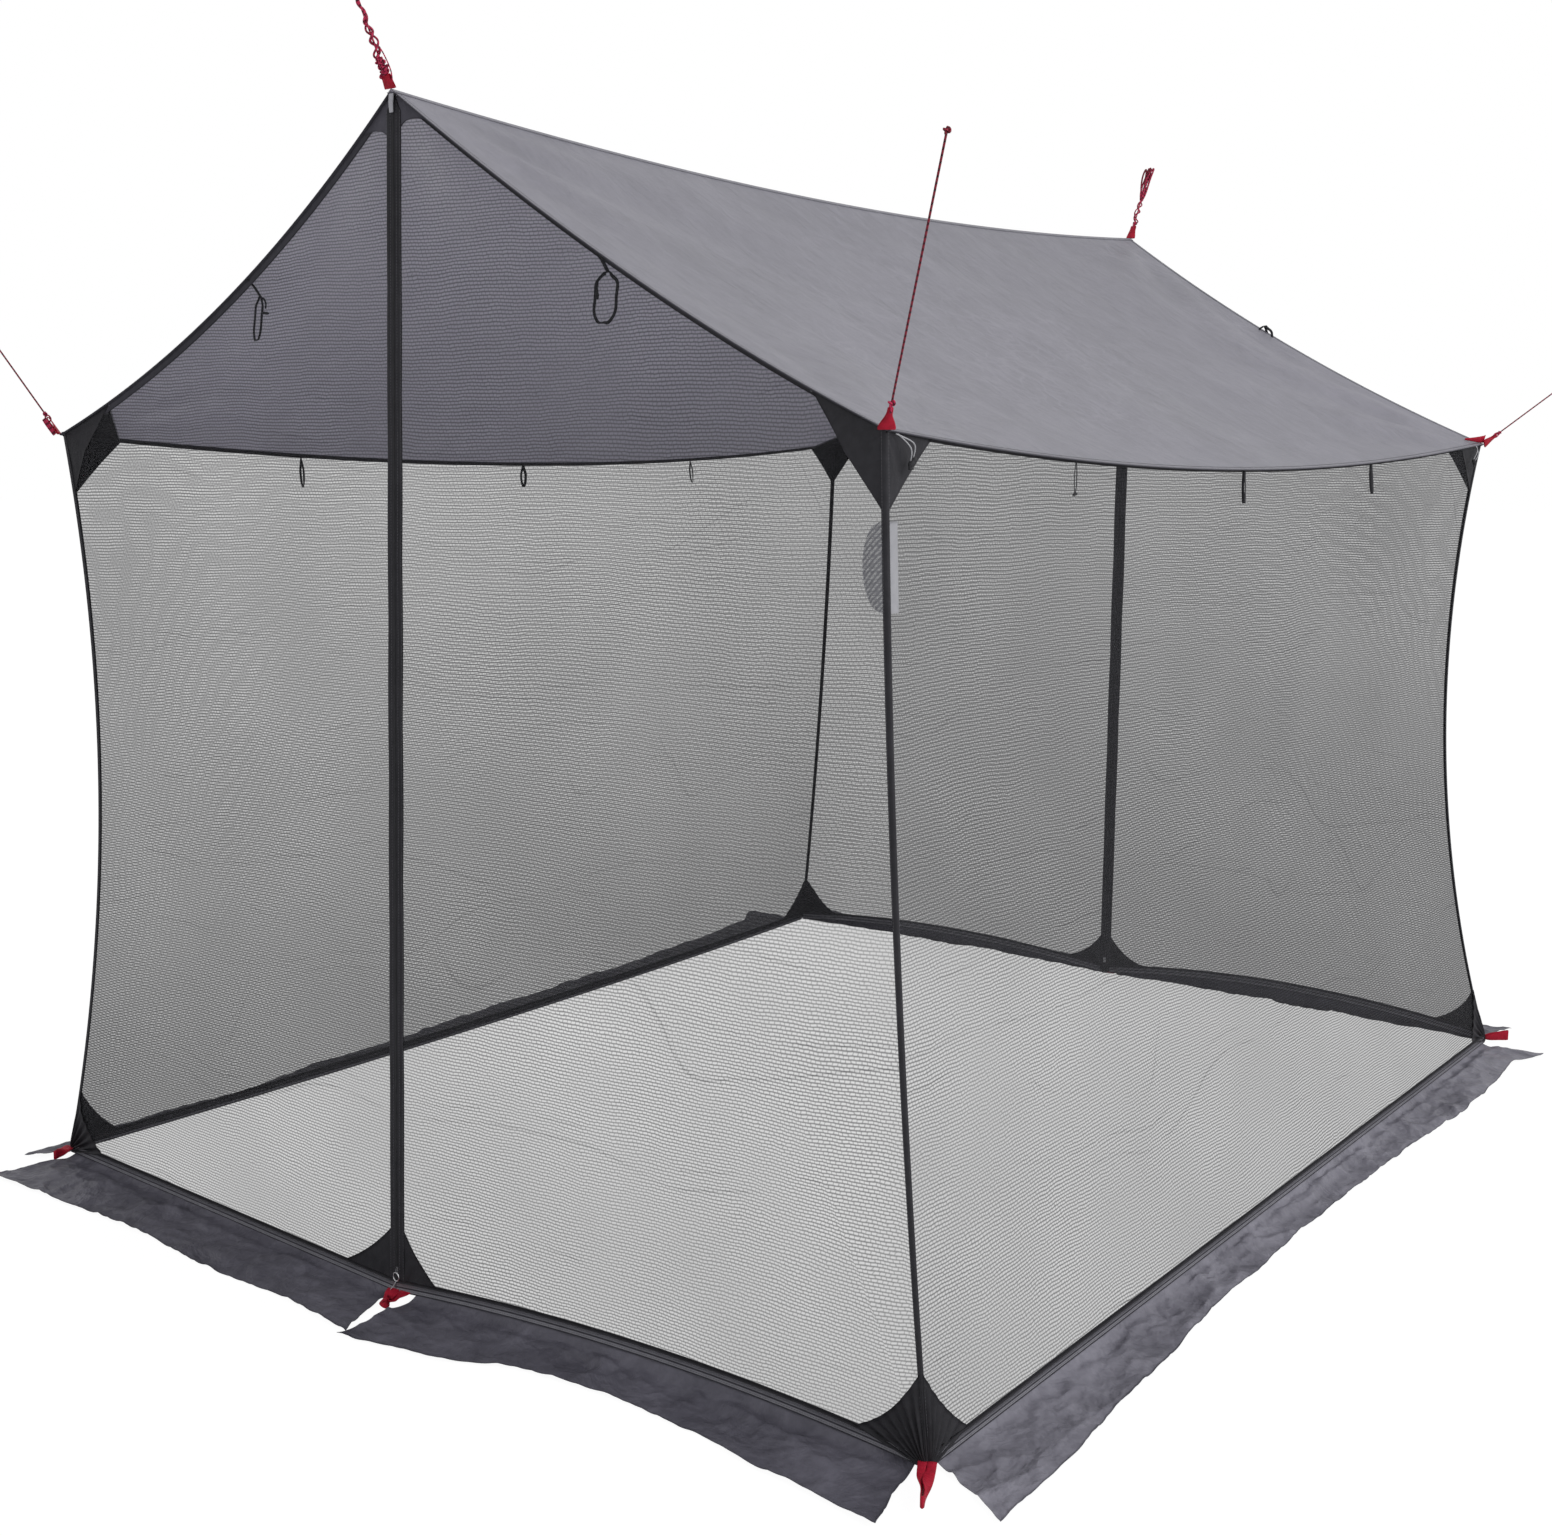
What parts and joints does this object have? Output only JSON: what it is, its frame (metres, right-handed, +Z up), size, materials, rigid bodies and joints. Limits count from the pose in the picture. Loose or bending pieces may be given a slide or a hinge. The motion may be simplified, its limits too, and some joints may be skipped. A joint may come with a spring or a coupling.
{
  "type": "screen tent",
  "caption": "Floorless screen tent with a gabled tarp roof, mosquito-net walls, zipped doors in both gable ends, a mud skirt, stake loops and guy lines.",
  "frame": {"origin": "on the ground at the middle of the footprint, skirt included, measured without the guy lines", "axes": "+X across the gable ends, +Y along the ridge from the front gable to the back one, +Z up"},
  "size_m": [2.86, 3.4718, 2.5422],
  "materials": {
    "roof_cloth": "coated cloth, soft sheen",
    "grey_tape": "woven binding tape",
    "mosquito_net": "fine open mesh",
    "black_cloth": "matte woven cloth",
    "skirt_cloth": "coated cloth, creased",
    "red_webbing": "woven webbing",
    "red_cord": "braided cord",
    "black_webbing": "woven webbing",
    "slider_metal": "satin"
  },
  "bodies": {
    "tent": {"back_net_left": "mosquito_net", "back_net_right": "mosquito_net", "corner_back_left": "black_cloth", "corner_back_right": "black_cloth", "corner_front_left": "black_cloth", "corner_front_right": "black_cloth", "front_net_left": "mosquito_net", "front_net_right": "mosquito_net", "guy_line_back_apex": "red_cord", "guy_line_back_left": "red_cord", "guy_line_back_right": "red_cord", "guy_line_front_apex": "red_cord", "guy_line_front_left": "red_cord", "guy_line_front_right": "red_cord", "guy_tab_back_apex": "red_webbing", "guy_tab_back_left": "red_webbing", "guy_tab_back_right": "red_webbing", "guy_tab_front_apex": "red_webbing", "guy_tab_front_left": "red_webbing", "guy_tab_front_right": "red_webbing", "ridge_tape": "grey_tape", "roof_binding_left": "grey_tape", "roof_binding_right": "grey_tape", "roof_slope_left": "roof_cloth", "roof_slope_right": "roof_cloth", "side_net_left": "mosquito_net", "side_net_right": "mosquito_net", "side_skirt_left": "skirt_cloth", "side_skirt_right": "skirt_cloth", "stake_loop_back_left": "red_webbing", "stake_loop_back_right": "red_webbing", "stake_loop_front_left": "red_webbing", "stake_loop_front_right": "red_webbing"},
    "front_door_left": {"front_door_trim_left": "black_cloth", "front_door_net_left": "mosquito_net", "front_door_skirt_left": "skirt_cloth", "stake_loop_front_zip": "red_webbing"},
    "front_door_right": {"front_door_trim_right": "black_cloth", "front_door_net_right": "mosquito_net", "front_door_skirt_right": "skirt_cloth"},
    "zip_slider_front": {"zip_slider_front": "slider_metal"},
    "back_door_left": {"back_door_trim_left": "black_cloth", "back_door_net_left": "mosquito_net", "back_door_skirt_left": "skirt_cloth", "stake_loop_back_zip": "red_webbing"},
    "back_door_right": {"back_door_trim_right": "black_cloth", "back_door_net_right": "mosquito_net", "back_door_skirt_right": "skirt_cloth"},
    "zip_slider_back": {"zip_slider_back": "slider_metal"},
    "eave_loop_left_1": {"eave_loop_left_1": "black_webbing"},
    "eave_loop_left_2": {"eave_loop_left_2": "black_webbing"},
    "eave_loop_left_3": {"eave_loop_left_3": "black_webbing"},
    "eave_loop_right_1": {"eave_loop_right_1": "black_webbing"},
    "eave_loop_right_2": {"eave_loop_right_2": "black_webbing"},
    "eave_loop_right_3": {"eave_loop_right_3": "black_webbing"},
    "gable_tie_back_left": {"gable_tie_back_left": "black_webbing"},
    "gable_tie_back_right": {"gable_tie_back_right": "black_webbing"},
    "gable_tie_front_left": {"gable_tie_front_left": "black_webbing"},
    "gable_tie_front_right": {"gable_tie_front_right": "black_webbing"}
  },
  "joints": [
    {"name": "front_door_left_fold", "type": "hinge", "parent": "tent", "child": "front_door_left", "pos_m": [-1.2, -1.47167, 0.014], "axis": [-0.4621, 0, -0.8868], "range_deg": [0, 90]},
    {"name": "front_door_right_fold", "type": "hinge", "parent": "tent", "child": "front_door_right", "pos_m": [1.2, -1.47167, 0.014], "axis": [-0.4621, 0, 0.8868], "range_deg": [0, 90]},
    {"name": "zip_slider_front_travel", "type": "slide", "parent": "front_door_left", "child": "zip_slider_front", "axis": [0, 0.0273, 0.9996], "range_m": [0, 2.2]},
    {"name": "back_door_left_fold", "type": "hinge", "parent": "tent", "child": "back_door_left", "pos_m": [-1.2, 1.52833, 0.014], "axis": [0.4621, 0, 0.8868], "range_deg": [0, 90]},
    {"name": "back_door_right_fold", "type": "hinge", "parent": "tent", "child": "back_door_right", "pos_m": [1.2, 1.52833, 0.014], "axis": [0.4621, 0, -0.8868], "range_deg": [0, 90]},
    {"name": "zip_slider_back_travel", "type": "slide", "parent": "back_door_left", "child": "zip_slider_back", "axis": [0, -0.0017, 1], "range_m": [0, 2.2]},
    {"name": "eave_loop_left_1_swing", "type": "hinge", "parent": "tent", "child": "eave_loop_left_1", "pos_m": [-1.07201, -0.81615, 1.6529], "axis": [0, 1, 0], "range_deg": [0, 90]},
    {"name": "eave_loop_left_2_swing", "type": "hinge", "parent": "tent", "child": "eave_loop_left_2", "pos_m": [-1.06265, -0.03199, 1.63234], "axis": [0, 1, 0], "range_deg": [0, 90]},
    {"name": "eave_loop_left_3_swing", "type": "hinge", "parent": "tent", "child": "eave_loop_left_3", "pos_m": [-1.06895, 0.72201, 1.64623], "axis": [0, 1, 0], "range_deg": [0, 90]},
    {"name": "eave_loop_right_1_swing", "type": "hinge", "parent": "tent", "child": "eave_loop_right_1", "pos_m": [1.07201, -0.81615, 1.6529], "axis": [0, -1, 0], "range_deg": [0, 90]},
    {"name": "eave_loop_right_2_swing", "type": "hinge", "parent": "tent", "child": "eave_loop_right_2", "pos_m": [1.06265, -0.03199, 1.63234], "axis": [0, -1, 0], "range_deg": [0, 90]},
    {"name": "eave_loop_right_3_swing", "type": "hinge", "parent": "tent", "child": "eave_loop_right_3", "pos_m": [1.06895, 0.72201, 1.64623], "axis": [0, -1, 0], "range_deg": [0, 90]},
    {"name": "gable_tie_back_left_swing", "type": "hinge", "parent": "tent", "child": "gable_tie_back_left", "pos_m": [-0.46843, 1.47225, 2.04188], "axis": [0.99, 0.1413, 0.0044], "range_deg": [0, 70]},
    {"name": "gable_tie_back_right_swing", "type": "hinge", "parent": "tent", "child": "gable_tie_back_right", "pos_m": [0.46843, 1.47225, 2.04188], "axis": [0.99, -0.1413, -0.0044], "range_deg": [0, 70]},
    {"name": "gable_tie_front_left_swing", "type": "hinge", "parent": "tent", "child": "gable_tie_front_left", "pos_m": [-0.46843, -1.4156, 1.97711], "axis": [-0.9839, 0.1785, -0.0057], "range_deg": [0, 70]},
    {"name": "gable_tie_front_right_swing", "type": "hinge", "parent": "tent", "child": "gable_tie_front_right", "pos_m": [0.46843, -1.4156, 1.97711], "axis": [-0.9839, -0.1785, 0.0057], "range_deg": [0, 70]}
  ]
}
